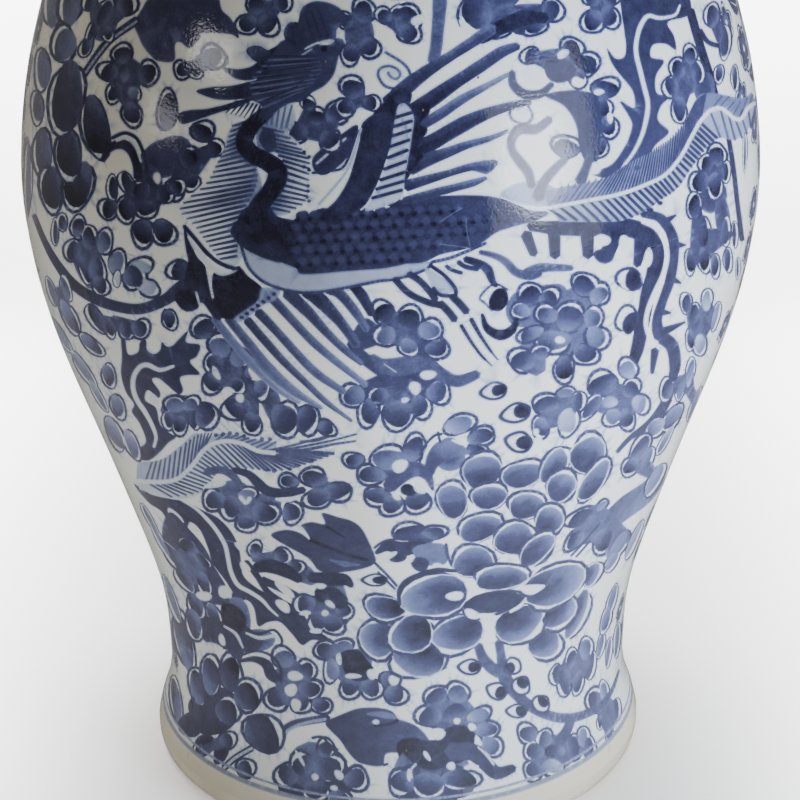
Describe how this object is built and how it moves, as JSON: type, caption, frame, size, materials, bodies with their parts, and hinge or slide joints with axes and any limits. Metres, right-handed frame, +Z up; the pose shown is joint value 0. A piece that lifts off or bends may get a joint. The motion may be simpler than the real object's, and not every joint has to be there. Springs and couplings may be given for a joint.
{
  "type": "covered baluster jar",
  "caption": "Tall porcelain baluster jar with a broad shoulder, narrow waist and flared foot, closed by a domed brimmed cover with a bud knob that lifts off.",
  "frame": {"origin": "centre of the flat of the foot ring that the jar stands on", "axes": "+Z up along the axis the jar was thrown about; -Y faces the camera of the picture"},
  "size_m": [0.3202, 0.3202, 0.6169],
  "materials": {
    "painted_glaze": "clear gloss glaze over cobalt blue brushwork on white porcelain",
    "clear_glaze": "clear gloss glaze on white porcelain",
    "biscuit": "unglazed fired porcelain, warm and matt"
  },
  "bodies": {
    "jar": {"foot_ring": "biscuit", "base_floor": "clear_glaze", "lower_body": "painted_glaze", "middle_body": "painted_glaze", "shoulder": "painted_glaze", "neck": "painted_glaze", "lower_luting_band": "biscuit", "upper_luting_band": "biscuit"},
    "cover": {"cover_dome": "painted_glaze", "cover_locating_ring": "biscuit", "knob_collar": "painted_glaze", "knob_bud": "painted_glaze"}
  },
  "joints": [
    {"name": "cover_lift", "type": "slide", "parent": "jar", "child": "cover", "axis": [0, 0, 1], "range_m": [0, 0.16]}
  ]
}
